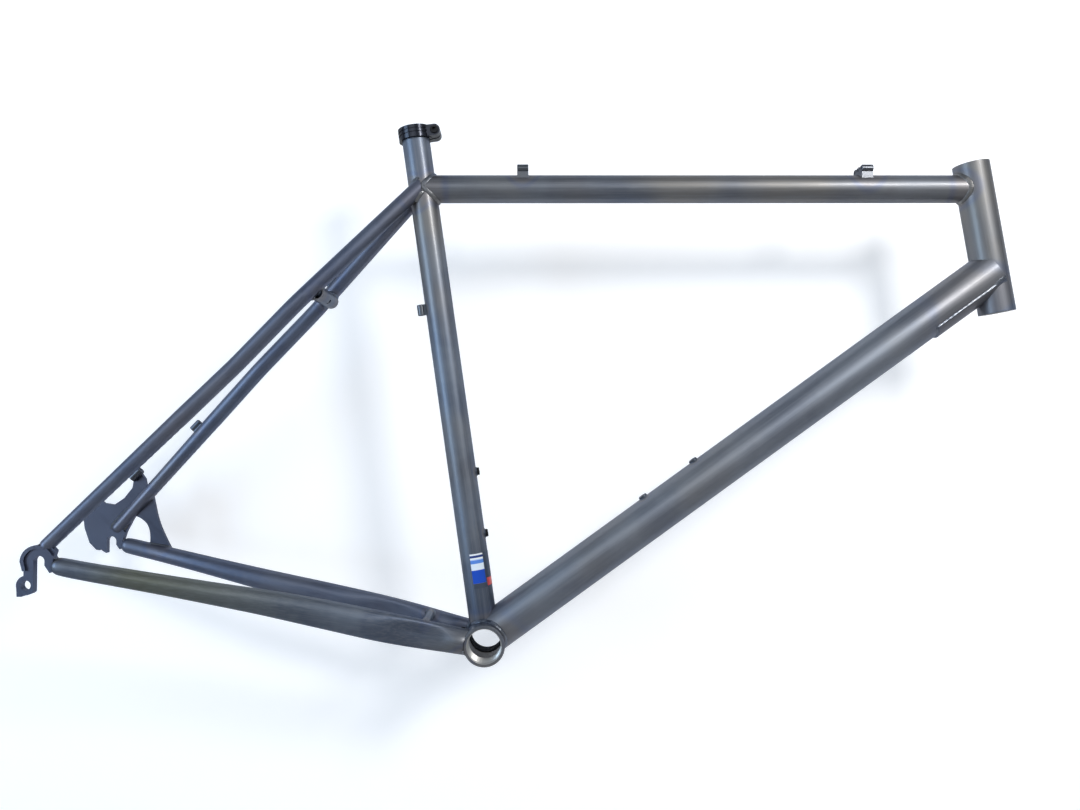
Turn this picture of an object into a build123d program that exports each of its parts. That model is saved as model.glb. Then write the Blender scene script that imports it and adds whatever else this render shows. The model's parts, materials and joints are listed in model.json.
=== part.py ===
from build123d import *
import os
from math import cos, exp, pi, radians, sin

# A bare steel mountain-bike frame. Millimetres. The origin is the centre of the bottom bracket
# shell, X points forward, Y to the rider's left and Z up, with the bicycle on level ground.

# ---------------------------------------------------------------- driving dimensions
SEAT_ANGLE = 72.9             # seat tube to the ground
HEAD_ANGLE = 71.5             # head tube to the ground
REACH = 423.5                 # bottom bracket to head tube top, along X
STACK = 565.0                 # bottom bracket to head tube top, along Z
HEAD_TUBE_LENGTH = 158.0
SEAT_TUBE_LENGTH = 530.0      # bottom bracket centre to the tube's top rim
AXLE_X = -425.0
AXLE_Z = 25.0                 # the rear axle stands this much above the bottom bracket
DROPOUT_INNER = 67.5          # half of the 135 mm hub width
DROPOUT_THICKNESS = 7.0

HEAD_R, HEAD_BORE_R = 18.0, 17.0
TOP_R, TOP_WALL = 14.2, 0.9
DOWN_R, DOWN_WALL = 21.0, 0.9
SEAT_R, SEAT_BORE_R = 14.3, 13.35
POST_BORE_R, POST_BORE_DEPTH = 13.6, 150.0   # the top is reamed for a 27.2 mm seat post
SHELL_R, SHELL_LENGTH = 20.6, 68.0
SHELL_THREAD_R, SHELL_RELIEF_R, SHELL_THREAD_LENGTH = 16.95, 17.35, 22.0
STAY_WALL = 0.9

TOP_JOINT_BELOW = 26.4        # top tube axis below the head tube's top, along the head tube
DOWN_JOINT_ABOVE = 44.0       # down tube axis above the head tube's bottom
TOP_JOINT_ON_SEAT = 468.6     # top tube axis above the bottom bracket, along the seat tube
DOWN_TUBE_RISE = 2.0          # the down tube axis passes this far above the shell's axis
AXLE_SLOT_R = 5.2             # half the width of the slot for a 10 mm axle
FRAME_TILT = 9.0              # the axle slots lean forward from straight down by this angle

# ---------------------------------------------------------------- main points and directions


def side_vector(angle):
    """A unit vector in the frame's middle plane, at an angle above +X."""
    return Vector(cos(radians(angle)), 0, sin(radians(angle)))


ORIGIN = Vector(0, 0, 0)
LEFT = Vector(0, 1, 0)
AXLE = Vector(AXLE_X, 0, AXLE_Z)
SEAT_UP = side_vector(180 - SEAT_ANGLE)
SEAT_FRONT = side_vector(90 - SEAT_ANGLE)
SEAT_TOP = SEAT_UP * SEAT_TUBE_LENGTH
HEAD_UP = side_vector(180 - HEAD_ANGLE)
HEAD_TOP = Vector(REACH, 0, STACK)
HEAD_BOTTOM = HEAD_TOP - HEAD_UP * HEAD_TUBE_LENGTH
TOP_START = SEAT_UP * TOP_JOINT_ON_SEAT
TOP_END = HEAD_TOP - HEAD_UP * TOP_JOINT_BELOW
TOP_FORWARD = (TOP_END - TOP_START).normalized()
TOP_NORMAL = Vector(-TOP_FORWARD.Z, 0, TOP_FORWARD.X)
DOWN_START = Vector(0, 0, DOWN_TUBE_RISE)
DOWN_END = HEAD_BOTTOM + HEAD_UP * DOWN_JOINT_ABOVE
DOWN_FORWARD = (DOWN_END - DOWN_START).normalized()
DOWN_NORMAL = Vector(-DOWN_FORWARD.Z, 0, DOWN_FORWARD.X)

pieces = {}


def keep(name, part):
    """Label a finished piece and remember it for export."""
    part.label = name
    pieces[name] = part


def round_bar(start, end, radius):
    """A solid round bar, used for mitre cuts and holes."""
    with BuildPart() as bar:
        with BuildSketch(Plane(origin=start, z_dir=end - start)):
            Circle(radius)
        extrude(amount=(end - start).length)
    return bar.part


head_bar = round_bar(HEAD_BOTTOM, HEAD_TOP, HEAD_R)
seat_bar = round_bar(ORIGIN, SEAT_TOP, SEAT_R)
top_bar = round_bar(TOP_START, TOP_END, TOP_R)
down_bar = round_bar(DOWN_START, DOWN_END, DOWN_R)
shell_bar = round_bar(LEFT * -SHELL_LENGTH / 2, LEFT * SHELL_LENGTH / 2, SHELL_R)

# ---------------------------------------------------------------- bottle cage bosses
# Threaded sleeves through the tube wall, each with a round flange on the tube's surface.
BOSS_PITCH = 64.0
BOSS_FLANGE_R = 4.6
SEAT_BOSS_HEIGHT, DOWN_BOSS_HEIGHT = 0.9, 2.2   # flange heights above the tube
BOSS_SHANK_R, BOSS_SHANK_DEPTH = 3.4, 7.0
BOSS_BORE_R = 2.1             # M5 thread
SEAT_BOSS_LOWER = 107.0       # along the seat tube
DOWN_BOSS_LOWER = 215.0       # along the down tube


def boss_shank(point, outward):
    """The part of a boss that passes through the tube wall."""
    return round_bar(point - outward * BOSS_SHANK_DEPTH, point, BOSS_SHANK_R)


def bottle_boss(point, outward, height, tube_bar):
    """A threaded boss whose flange is cut to the tube's round surface."""
    top = point + outward * height
    with BuildPart() as flange:
        with BuildSketch(Plane(origin=point - outward * 2, z_dir=outward)):
            Circle(BOSS_FLANGE_R)
        extrude(amount=height + 2)
        chamfer(flange.faces().sort_by(Axis(ORIGIN, outward))[-1].edges(), 0.4)
        add(tube_bar, mode=Mode.SUBTRACT)
    with BuildPart() as boss:
        add(flange.part)
        add(boss_shank(point, outward))
        add(round_bar(point - outward * (BOSS_SHANK_DEPTH + 1), top + outward, BOSS_BORE_R),
            mode=Mode.SUBTRACT)
    return boss.part


seat_boss_points = [SEAT_UP * (SEAT_BOSS_LOWER + BOSS_PITCH * i) + SEAT_FRONT * SEAT_R
                    for i in range(2)]
down_boss_points = [DOWN_START + DOWN_FORWARD * (DOWN_BOSS_LOWER + BOSS_PITCH * i)
                    + DOWN_NORMAL * DOWN_R for i in range(2)]
for place, point in zip(("lower", "upper"), seat_boss_points):
    keep(f"seat_tube_boss_{place}", bottle_boss(point, SEAT_FRONT, SEAT_BOSS_HEIGHT, seat_bar))
for place, point in zip(("lower", "upper"), down_boss_points):
    keep(f"down_tube_boss_{place}", bottle_boss(point, DOWN_NORMAL, DOWN_BOSS_HEIGHT, down_bar))

# ---------------------------------------------------------------- head tube
with BuildPart() as head_tube:
    with BuildSketch(Plane(origin=HEAD_BOTTOM, z_dir=HEAD_UP)):
        Circle(HEAD_R)
        Circle(HEAD_BORE_R, mode=Mode.SUBTRACT)
    extrude(amount=HEAD_TUBE_LENGTH)
    chamfer(head_tube.edges().filter_by(GeomType.CIRCLE), 0.3)
keep("head_tube", head_tube.part)

# ---------------------------------------------------------------- top tube
TUBE_OVERRUN = 1.0            # a mitred tube starts this far from its parent's axis
with BuildPart() as top_tube:
    with BuildSketch(Plane(origin=TOP_START + TOP_FORWARD * TUBE_OVERRUN, z_dir=TOP_FORWARD)):
        Circle(TOP_R)
        Circle(TOP_R - TOP_WALL, mode=Mode.SUBTRACT)
    extrude(amount=(TOP_END - TOP_START).length - TUBE_OVERRUN)
    add(seat_bar, mode=Mode.SUBTRACT)
    add(head_bar, mode=Mode.SUBTRACT)
keep("top_tube", top_tube.part)

# ---------------------------------------------------------------- down tube
with BuildPart() as down_tube:
    with BuildSketch(Plane(origin=DOWN_START, z_dir=DOWN_FORWARD)):
        Circle(DOWN_R)
        Circle(DOWN_R - DOWN_WALL, mode=Mode.SUBTRACT)
    extrude(amount=(DOWN_END - DOWN_START).length)
    add(shell_bar, mode=Mode.SUBTRACT)
    add(seat_bar, mode=Mode.SUBTRACT)
    add(head_bar, mode=Mode.SUBTRACT)
    for point in down_boss_points:
        add(boss_shank(point, DOWN_NORMAL), mode=Mode.SUBTRACT)
keep("down_tube", down_tube.part.solids().sort_by(SortBy.VOLUME)[-1])

# ---------------------------------------------------------------- seat tube
# Its top is slit at the front, so that the clamp can squeeze it onto the seat post.
SLIT_WIDTH, SLIT_LENGTH = 2.6, 30.0
with BuildPart() as seat_tube:
    with BuildSketch(Plane(origin=ORIGIN, z_dir=SEAT_UP)):
        Circle(SEAT_R)
        Circle(SEAT_BORE_R, mode=Mode.SUBTRACT)
    extrude(amount=SEAT_TUBE_LENGTH)
    with BuildSketch(Plane(origin=SEAT_TOP - SEAT_UP * POST_BORE_DEPTH, z_dir=SEAT_UP)):
        Circle(POST_BORE_R)
    extrude(amount=POST_BORE_DEPTH, mode=Mode.SUBTRACT)
    add(shell_bar, mode=Mode.SUBTRACT)
    for point in seat_boss_points:
        add(boss_shank(point, SEAT_FRONT), mode=Mode.SUBTRACT)
    with BuildSketch(Plane(origin=SEAT_TOP, x_dir=SEAT_UP, z_dir=SEAT_FRONT)):
        SlotOverall(2 * SLIT_LENGTH, SLIT_WIDTH)
    extrude(amount=SEAT_R + 1, mode=Mode.SUBTRACT)
keep("seat_tube", seat_tube.part)

# ---------------------------------------------------------------- bottom bracket shell
with BuildPart() as bottom_bracket_shell:
    with BuildSketch(Plane.XZ.offset(-SHELL_LENGTH / 2)):
        Circle(SHELL_R)
        Circle(SHELL_THREAD_R, mode=Mode.SUBTRACT)
    extrude(amount=SHELL_LENGTH)
    with BuildSketch(Plane.XZ.offset(SHELL_THREAD_LENGTH - SHELL_LENGTH / 2)):
        Circle(SHELL_RELIEF_R)
    extrude(amount=SHELL_LENGTH - 2 * SHELL_THREAD_LENGTH, mode=Mode.SUBTRACT)
    end_faces = bottom_bracket_shell.faces().filter_by(Axis.Y)
    ends = end_faces.sort_by(Axis.Y)[0].edges() + end_faces.sort_by(Axis.Y)[-1].edges()
    chamfer(ends, 0.6)
keep("bottom_bracket_shell", bottom_bracket_shell.part)

# ---------------------------------------------------------------- seatstays
# Each stay is straight in side view, and bends inwards twice to clear the tyre.
SEATSTAY_ANGLE = 55.3
SEATSTAY_OFFSET = 6.0         # its axis passes behind the axle by this much
SEATSTAY_R, SEATSTAY_TIP_R, SEATSTAY_TAPER = 8.0, 6.6, 165.0
SEATSTAY_TIP = 15.0           # from the axle, along the stay
SEATSTAY_BENDS = (254.0, 338.0)
SEATSTAY_SPREAD = (71.0, 37.6, 36.8, 9.0)   # half spread at the tip, the bends and the top
SEATSTAY_BEND_R = 150.0
STAY_DIR = side_vector(SEATSTAY_ANGLE)
STAY_NORMAL = Vector(-STAY_DIR.Z, 0, STAY_DIR.X)
STAY_FOOT = AXLE + STAY_NORMAL * SEATSTAY_OFFSET
# where the stay's axis would meet the seat tube's axis
stay_run = (STAY_FOOT.X * SEAT_UP.Z - STAY_FOOT.Z * SEAT_UP.X) / (
    STAY_DIR.Z * SEAT_UP.X - STAY_DIR.X * SEAT_UP.Z)
seatstay_ends = (SEATSTAY_TIP, *SEATSTAY_BENDS, stay_run)


def seatstay_solid(side, thinner=0.0, start_gap=0.0):
    """One seatstay as a solid, with its radius made smaller and its start moved up."""
    tip, bend_1, bend_2, top = [STAY_FOOT + STAY_DIR * s + LEFT * side * y for s, y in
                                zip(seatstay_ends, SEATSTAY_SPREAD)]
    rear_dir = (bend_1 - tip).normalized()
    start, full = tip + rear_dir * start_gap, tip + rear_dir * SEATSTAY_TAPER
    start_r = SEATSTAY_TIP_R + (SEATSTAY_R - SEATSTAY_TIP_R) * start_gap / SEATSTAY_TAPER
    with BuildPart() as stay:
        with BuildSketch(Plane(origin=start, z_dir=rear_dir)):
            Circle(start_r - thinner)
        with BuildSketch(Plane(origin=full, z_dir=rear_dir)) as end:
            Circle(SEATSTAY_R - thinner)
        loft()
        with BuildLine() as path:
            FilletPolyline(full, bend_1, bend_2, top, radius=SEATSTAY_BEND_R)
        sweep(sections=end.sketch, path=path.line)
        if not start_gap:
            with Locations(start):
                Sphere(start_r)
    return stay.part


# ---------------------------------------------------------------- chainstays
# Round at the dropouts, tall ovals beside the tyre, pressed in for the tyre and the chainring.
# Stations: X, half spread, height of the axis, half height, half width.
CHAINSTAY_STATIONS = (
    (-413.6, 70.6, 22.9, 2.6, 2.6),
    (-412.6, 70.6, 22.8, 5.2, 5.2),
    (-410.0, 70.5, 22.6, 7.4, 7.3),
    (-405.0, 70.4, 22.3, 8.4, 8.3),
    (-392.0, 69.5, 21.5, 8.7, 8.5),
    (-354.0, 64.5, 19.5, 9.1, 8.9),
    (-322.0, 59.5, 17.8, 9.6, 9.2),
    (-290.0, 54.5, 16.0, 10.3, 9.5),
    (-257.0, 49.4, 14.1, 11.2, 9.6),
    (-222.0, 44.0, 12.1, 12.4, 9.4),
    (-186.0, 39.8, 9.8, 13.7, 9.1),
    (-147.0, 37.0, 7.2, 14.6, 8.8),
    (-107.0, 34.3, 4.4, 15.1, 8.7),
    (-70.0, 30.2, 2.0, 14.6, 8.8),
    (-40.0, 26.0, 0.2, 13.6, 8.9),
    (-14.0, 22.8, -1.2, 12.8, 9.0),
)
CHAINSTAY_SOLID_TIP = 5       # the cavity starts at this station
TYRE_DIMPLE = (-104.0, 34.0, 3.4)        # X, half length, depth, on each stay's inner side
CHAINRING_DIMPLE = (-68.0, 30.0, 5.6)    # on the right stay's outer side
SECTION_POINTS = 12


def dimple_depth(x, dimple):
    """How far a side is pressed in at a place along the stay."""
    middle, half_length, depth = dimple
    return depth * exp(-((x - middle) / half_length) ** 2 * 1.6)


def chainstay_solid(side, thinner=0.0, first=0):
    """One chainstay as a solid, lofted through its stations. The side is 1 on the left."""
    with BuildPart() as stay:
        for x, spread, height, tall, wide in CHAINSTAY_STATIONS[first:]:
            inner = dimple_depth(x, TYRE_DIMPLE)
            outer = dimple_depth(x, CHAINRING_DIMPLE) if side < 0 else 0
            points = []
            for i in range(SECTION_POINTS):
                turn = 2 * pi * i / SECTION_POINTS
                pressed = outer if cos(turn) > 0 else inner
                across = (wide - thinner) * cos(turn) - pressed * cos(turn) ** 3
                points.append((across, (tall - thinner) * sin(turn)))
            centre = Vector(x, side * spread, height)
            with BuildSketch(Plane(origin=centre, x_dir=LEFT * side, z_dir=(side, 0, 0))):
                with BuildLine():
                    Spline(*points, periodic=True)
                make_face()
        loft()
    return stay.part


# ---------------------------------------------------------------- dropouts
# Outlines in the plane of the plate: U points forward and V up, with the axle slot straight down.
PLATE_U, PLATE_V = side_vector(FRAME_TILT), side_vector(90 + FRAME_TILT)
HOOD_R, LEFT_HOOD_R = 15.6, 13.4
HOOD_LIP, HOOD_LIP_HEIGHT = 3.4, 2.2         # its width, and how far it stands proud
HOOD_CENTRE = (-1.2, -0.3)
HANGER_AT = (-12.0, -22.6)    # derailleur hanger's hole, from the axle
HANGER_R, HANGER_BORE_R = 9.2, 4.6
SEAT_TONGUE, SEAT_TONGUE_WIDTH = 23.0, 6.0      # its reach from the axle, and its width
CHAIN_TONGUE, CHAIN_TONGUE_WIDTH = 31.0, 8.0
CHAIN_TONGUE_SLOPE = -3.4


def plate_plane(y):
    """The plane of a dropout's left face, with its normal to the right."""
    return Plane(origin=AXLE + LEFT * y, x_dir=PLATE_U, z_dir=-LEFT)


def on_plate(x, z):
    """A point of the frame's side view in the plate's U and V."""
    local = Vector(x, 0, z) - AXLE
    return local.dot(PLATE_U), local.dot(PLATE_V)


def stay_tongues():
    """The two tongues that the stay ends are slotted over, and the web between them."""
    foot = on_plate(STAY_FOOT.X, STAY_FOOT.Z)
    with Locations(Location((*foot, 0), (0, 0, SEATSTAY_ANGLE - FRAME_TILT))):
        Rectangle(SEAT_TONGUE, SEAT_TONGUE_WIDTH, align=(Align.MIN, Align.CENTER))
    with Locations(Location((0, -2.0, 0), (0, 0, CHAIN_TONGUE_SLOPE - FRAME_TILT))):
        Rectangle(CHAIN_TONGUE, CHAIN_TONGUE_WIDTH, align=(Align.MIN, Align.CENTER))
    Polygon((0, 12), (10.5, 14.5), (15.0, 9.5), (12, 0), (0, 0), align=None)


def axle_slot():
    """The open slot for the axle, with a lead-in on its front side."""
    Circle(AXLE_SLOT_R, mode=Mode.SUBTRACT)
    with Locations((0, -30)):
        Rectangle(2 * AXLE_SLOT_R, 60, mode=Mode.SUBTRACT)
    Polygon((0, -4), (AXLE_SLOT_R, -4), (13.5, -16), (13.5, -40), (0, -40), align=None,
            mode=Mode.SUBTRACT)


# The right dropout carries the derailleur hanger on its rear arm.
with BuildPart() as right_dropout:
    with BuildSketch(plate_plane(-DROPOUT_INNER)):
        with Locations(HOOD_CENTRE):
            Circle(HOOD_R)
        Polygon((-16.7, 1), (-15.4, -5), (-14.3, -9.5), (-14.2, -13), (-15.6, -16.5), (-19.6, -20),
                (-12.0, -22.6), (-3.2, -22.6), (-AXLE_SLOT_R, -12), (-AXLE_SLOT_R, 2), align=None)
        with Locations(HANGER_AT):
            Circle(HANGER_R)
        stay_tongues()
        axle_slot()
        Polygon((-20.9, -24.2), (-20.4, -33.2), (-15.8, -33.2), (-10.6, -27.2), align=None)
        with Locations(HANGER_AT):
            Circle(HANGER_BORE_R, mode=Mode.SUBTRACT)
    extrude(amount=DROPOUT_THICKNESS)
    # a raised lip hoods the axle's seat on the outer side
    with BuildSketch(plate_plane(-DROPOUT_INNER - DROPOUT_THICKNESS)):
        with Locations(HOOD_CENTRE):
            Circle(HOOD_R)
            Circle(HOOD_R - HOOD_LIP, mode=Mode.SUBTRACT)
        Rectangle(60, 40, align=(Align.CENTER, Align.MAX), mode=Mode.SUBTRACT)
        Polygon((-16.8, 0), (-15.5, -5), (-14.4, -9), (-11.2, -9), (-12.3, -4), (-13.4, 0), align=None)
    extrude(amount=HOOD_LIP_HEIGHT)

# The left dropout carries the disc brake tab on its rear side.
TAB_Y, TAB_THICKNESS = 69.5, 5.0
TAB_HOLE_PITCH, TAB_HOLE_R, TAB_LOBE_R = 51.0, 3.1, 8.6
TAB_LOWER = Vector(-453.5, TAB_Y, 63.0)
TAB_UPPER = TAB_LOWER + side_vector(53.6) * TAB_HOLE_PITCH

with BuildPart() as left_plate:
    with BuildSketch(plate_plane(DROPOUT_INNER + DROPOUT_THICKNESS)):
        with Locations(HOOD_CENTRE):
            Circle(LEFT_HOOD_R)
        stay_tongues()
        axle_slot()
    extrude(amount=DROPOUT_THICKNESS)

with BuildPart() as left_tab:
    with BuildSketch(plate_plane(TAB_Y + TAB_THICKNESS)):
        tab_outline = [on_plate(x, z) for x, z in (
            (-428, 25), (-437, 12.5), (-441, 12.5), (-449.5, 19), (-457.5, 34), (-461.5, 48),
            (-462, 62), (-453, 71), (-441, 64.5), (-429.5, 64.5), (-420, 73.5), (-413, 86),
            (-413, 93), (-418, 98), (-428, 98), (-430, 110), (-420, 111.5), (-409, 106),
            (-401, 98), (-396, 84), (-404, 60), (-412, 36))]
        Polygon(*tab_outline, align=None)
        for hole in (TAB_LOWER, TAB_UPPER):
            with Locations(on_plate(hole.X, hole.Z)):
                Circle(TAB_LOBE_R)
        for hole in (TAB_LOWER, TAB_UPPER):
            with Locations(on_plate(hole.X, hole.Z)):
                Circle(TAB_HOLE_R, mode=Mode.SUBTRACT)
        axle_slot()
    extrude(amount=TAB_THICKNESS)

# The curved strut between the left stays takes the brake's pull.
STRUT_Y, STRUT_THICKNESS = 66.5, 5.0
with BuildPart() as disc_strut_plate:
    with BuildSketch(Plane.XZ.offset(-STRUT_Y - STRUT_THICKNESS)):
        with BuildLine():
            Spline((-392, 90), (-386.5, 77), (-378, 56), (-367, 38), (-355, 22))
            Line((-355, 22), (-381, 20))
            Spline((-381, 20), (-382.5, 31), (-389, 49.5), (-400.5, 56), (-408, 57))
            Line((-408, 57), (-392, 90))
        make_face()
    extrude(amount=STRUT_THICKNESS)

# ---------------------------------------------------------------- stays, cut to their neighbours
STAY_PLUG = 20.0              # the stays are solid for this length at their rear ends
stay_outer = {(kind, side): solid(side) for side in (1, -1)
              for kind, solid in (("seat", seatstay_solid), ("chain", chainstay_solid))}
dropout_core = {1: left_plate.part, -1: right_dropout.part}
# the shell's cylinder made longer, so that the stays also keep clear of its open ends
shell_path = round_bar(LEFT * -SHELL_LENGTH, LEFT * SHELL_LENGTH, SHELL_R)

# the space in front of the seat tube's centre plane, where no seatstay may reach
with BuildPart() as seat_front_block:
    with BuildSketch(Plane(origin=TOP_START, x_dir=LEFT, z_dir=SEAT_FRONT)):
        Rectangle(80, 160)
    extrude(amount=60)

for side, side_name in ((1, "left"), (-1, "right")):
    with BuildPart() as seatstay:
        add(stay_outer["seat", side])
        add(seatstay_solid(side, STAY_WALL, STAY_PLUG), mode=Mode.SUBTRACT)
        add(seat_front_block.part, mode=Mode.SUBTRACT)
        add(seat_bar, mode=Mode.SUBTRACT)
        add(dropout_core[side], mode=Mode.SUBTRACT)
    keep(f"{side_name}_seatstay", seatstay.part.solids().sort_by(SortBy.VOLUME)[-1])
    with BuildPart() as chainstay:
        add(stay_outer["chain", side])
        add(shell_path, mode=Mode.SUBTRACT)
        add(chainstay_solid(side, STAY_WALL, CHAINSTAY_SOLID_TIP), mode=Mode.SUBTRACT)
        add(seat_bar, mode=Mode.SUBTRACT)
        add(down_bar, mode=Mode.SUBTRACT)
        add(dropout_core[side], mode=Mode.SUBTRACT)
    keep(f"{side_name}_chainstay", chainstay.part)

keep("right_dropout", right_dropout.part)
with BuildPart() as left_tab_cut:
    add(left_tab.part)
    add(stay_outer["seat", 1], mode=Mode.SUBTRACT)
    add(stay_outer["chain", 1], mode=Mode.SUBTRACT)
with BuildPart() as left_dropout:
    add(left_plate.part)
    add(left_tab_cut.part)
keep("left_dropout", left_dropout.part)

with BuildPart() as disc_strut:
    add(disc_strut_plate.part)
    add(left_dropout.part, mode=Mode.SUBTRACT)
    add(stay_outer["seat", 1], mode=Mode.SUBTRACT)
    add(stay_outer["chain", 1], mode=Mode.SUBTRACT)
keep("disc_brace", disc_strut.part)

# ---------------------------------------------------------------- bridges between the stays
SEAT_BRIDGE_AT = Vector(-221.0, 0, 321.0)
SEAT_BRIDGE_R, SEAT_BRIDGE_WALL, SEAT_BRIDGE_HOLE_R = 8.0, 1.5, 3.1
CHAIN_BRIDGE_AT = Vector(-62.0, 0, 11.0)
CHAIN_BRIDGE_R, CHAIN_BRIDGE_WALL = 4.5, 1.2


def bridge(centre, radius, wall, half_length, kind):
    """A cross tube between the two stays of a kind, mitred to both."""
    with BuildPart() as cross:
        with BuildSketch(Plane(origin=centre - LEFT * half_length, z_dir=LEFT)):
            Circle(radius)
            Circle(radius - wall, mode=Mode.SUBTRACT)
        extrude(amount=2 * half_length)
        for side in (1, -1):
            add(stay_outer[kind, side], mode=Mode.SUBTRACT)
    return cross.part


with BuildPart() as seatstay_bridge:
    add(bridge(SEAT_BRIDGE_AT, SEAT_BRIDGE_R, SEAT_BRIDGE_WALL, 33.0, "seat"))
    drill = STAY_NORMAL * (SEAT_BRIDGE_R + 1)
    add(round_bar(SEAT_BRIDGE_AT - drill, SEAT_BRIDGE_AT + drill, SEAT_BRIDGE_HOLE_R),
        mode=Mode.SUBTRACT)
keep("seatstay_bridge", seatstay_bridge.part)
keep("chainstay_bridge", bridge(CHAIN_BRIDGE_AT, CHAIN_BRIDGE_R, CHAIN_BRIDGE_WALL, 27.0, "chain"))

# ---------------------------------------------------------------- gusset under the down tube
GUSSET_LENGTH, GUSSET_THICKNESS, GUSSET_HALF_ANGLE = 66.0, 2.0, 55.0
gusset_from_end = 21.0        # from the down tube's end to the head tube's rear face, at least
GUSSET_START = DOWN_END - DOWN_FORWARD * (GUSSET_LENGTH + gusset_from_end)
with BuildPart() as head_gusset:
    with BuildSketch(Plane(origin=GUSSET_START, x_dir=LEFT, z_dir=DOWN_FORWARD)):
        Circle(DOWN_R + GUSSET_THICKNESS)
        Circle(DOWN_R, mode=Mode.SUBTRACT)
        reach = 3 * DOWN_R
        edge = (reach * sin(radians(GUSSET_HALF_ANGLE)), -reach * cos(radians(GUSSET_HALF_ANGLE)))
        Polygon((0, 0), (edge[0], edge[1]), (0, -reach * 2), (-edge[0], edge[1]), align=None,
                mode=Mode.INTERSECT)
    extrude(amount=GUSSET_LENGTH + gusset_from_end)
    add(head_bar, mode=Mode.SUBTRACT)
keep("head_gusset", head_gusset.part.solids().sort_by(SortBy.VOLUME)[-1])

# ---------------------------------------------------------------- cable stops and guides
# A stop is a short barrel: a pocket for the cable's housing, a small hole for the cable in its
# floor, and a slot along its outer side so that the cable can be lifted out.
HOUSING_R, CABLE_HOLE_R, CABLE_SLOT = 2.7, 1.1, 1.8
STOP_FLOOR = 2.5


def cable_barrels(centre, along, away, barrel_r, length, offsets, foot_width, reach, cuts):
    """Barrels side by side on one foot. The foot reaches back to a tube, and is cut to it."""
    start = Plane(origin=centre - along * length / 2, x_dir=away, z_dir=along)
    with BuildPart() as stop:
        with BuildSketch(start):
            with Locations((-reach / 2, 0)):
                Rectangle(reach, foot_width)
            with Locations(*[(0, across) for across in offsets]):
                Circle(barrel_r)
        extrude(amount=length)
        chamfer(stop.edges().filter_by(GeomType.CIRCLE), 0.4)
        with BuildSketch(start.offset(STOP_FLOOR)):
            with Locations(*[(0, across) for across in offsets]):
                Circle(HOUSING_R)
        extrude(amount=length, mode=Mode.SUBTRACT)
        with BuildSketch(start):
            with Locations(*[(0, across) for across in offsets]):
                Circle(CABLE_HOLE_R)
                Rectangle(barrel_r + 1, CABLE_SLOT, align=(Align.MIN, Align.CENTER))
        extrude(amount=length, mode=Mode.SUBTRACT)
        for neighbour in cuts:
            add(neighbour, mode=Mode.SUBTRACT)
    return stop.part


TRIPLE_PITCH, TRIPLE_R, TRIPLE_LENGTH, TRIPLE_HEIGHT = 9.0, 4.0, 11.5, 5.0
for name, along_tube, direction in (("rear", 104.0, -1), ("front", 460.0, 1)):
    centre = TOP_START + TOP_FORWARD * along_tube + TOP_NORMAL * (TOP_R + TRIPLE_HEIGHT)
    keep(f"top_tube_cable_stops_{name}",
         cable_barrels(centre, TOP_FORWARD * direction, TOP_NORMAL, TRIPLE_R, TRIPLE_LENGTH,
                       (-TRIPLE_PITCH, 0, TRIPLE_PITCH), 22.0, 12.0, [top_bar]))

SEAT_STOP_UP = 344.0          # along the seat tube
seat_stop_at = SEAT_UP * SEAT_STOP_UP - SEAT_FRONT * (SEAT_R + 4.6)
keep("seat_tube_cable_stop",
     cable_barrels(seat_stop_at, SEAT_UP, -SEAT_FRONT, 4.0, 11.0, (0,), 5.0, 6.0, [seat_bar]))


def on_seatstay(run, away, y):
    """A point beside the left seatstay: along it, out from its axis, and its Y."""
    return STAY_FOOT + STAY_DIR * run + STAY_NORMAL * away + LEFT * y


seatstay_cut = [stay_outer["seat", 1]]
keep("seatstay_cable_stop",
     cable_barrels(on_seatstay(375.0, 11.0, 30.5), -STAY_DIR, STAY_NORMAL, 4.2, 13.0, (0,),
                   5.0, 8.0, seatstay_cut))
keep("seatstay_cable_guide_upper",
     cable_barrels(on_seatstay(391.0, 10.4, 28.0), -STAY_DIR, STAY_NORMAL, 3.5, 10.0, (0,),
                   4.0, 8.0, seatstay_cut))
keep("seatstay_cable_guide_lower",
     cable_barrels(on_seatstay(160.0, 10.6, 50.3), -STAY_DIR, STAY_NORMAL, 3.5, 12.0, (0,),
                   4.0, 8.0, seatstay_cut))

# the brake cable's last stop stands on the tip of the disc tab
TAB_STOP_AT = Vector(-409.8, 66.5, 102.0)
keep("disc_tab_cable_stop",
     cable_barrels(TAB_STOP_AT, -STAY_DIR, STAY_NORMAL, 4.7, 14.0, (0,), 4.0, 4.0,
                   [left_dropout.part, stay_outer["seat", 1]]))

# ---------------------------------------------------------------- seat clamp
COLLAR_GAP = 0.05             # running clearance around the seat tube
COLLAR_WALL, COLLAR_HEIGHT, COLLAR_LIP = 2.9, 12.5, 1.7
COLLAR_LIP_R = 13.65
EAR_AT, EAR_R, EAR_HALF_WIDTH, EAR_GAP = 21.0, 5.8, 11.0, 2.6
GROOVE_DEPTH, GROOVE_HEIGHT = 0.8, 1.7
CLAMP_BOLT_R, CLAMP_HEAD_R, CLAMP_HEAD_LENGTH = 2.5, 4.25, 5.0
CLAMP_CLEARANCE = 0.08        # radial, between the bolt and its hole
CLAMP_HEX = 4.0
collar_base = Plane(origin=SEAT_TOP + SEAT_UP * (COLLAR_LIP - COLLAR_HEIGHT), x_dir=SEAT_FRONT,
                    z_dir=SEAT_UP)
collar_r = SEAT_R + COLLAR_GAP + COLLAR_WALL
clamp_bolt_at = collar_base.origin + SEAT_UP * COLLAR_HEIGHT / 2 + SEAT_FRONT * EAR_AT

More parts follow.
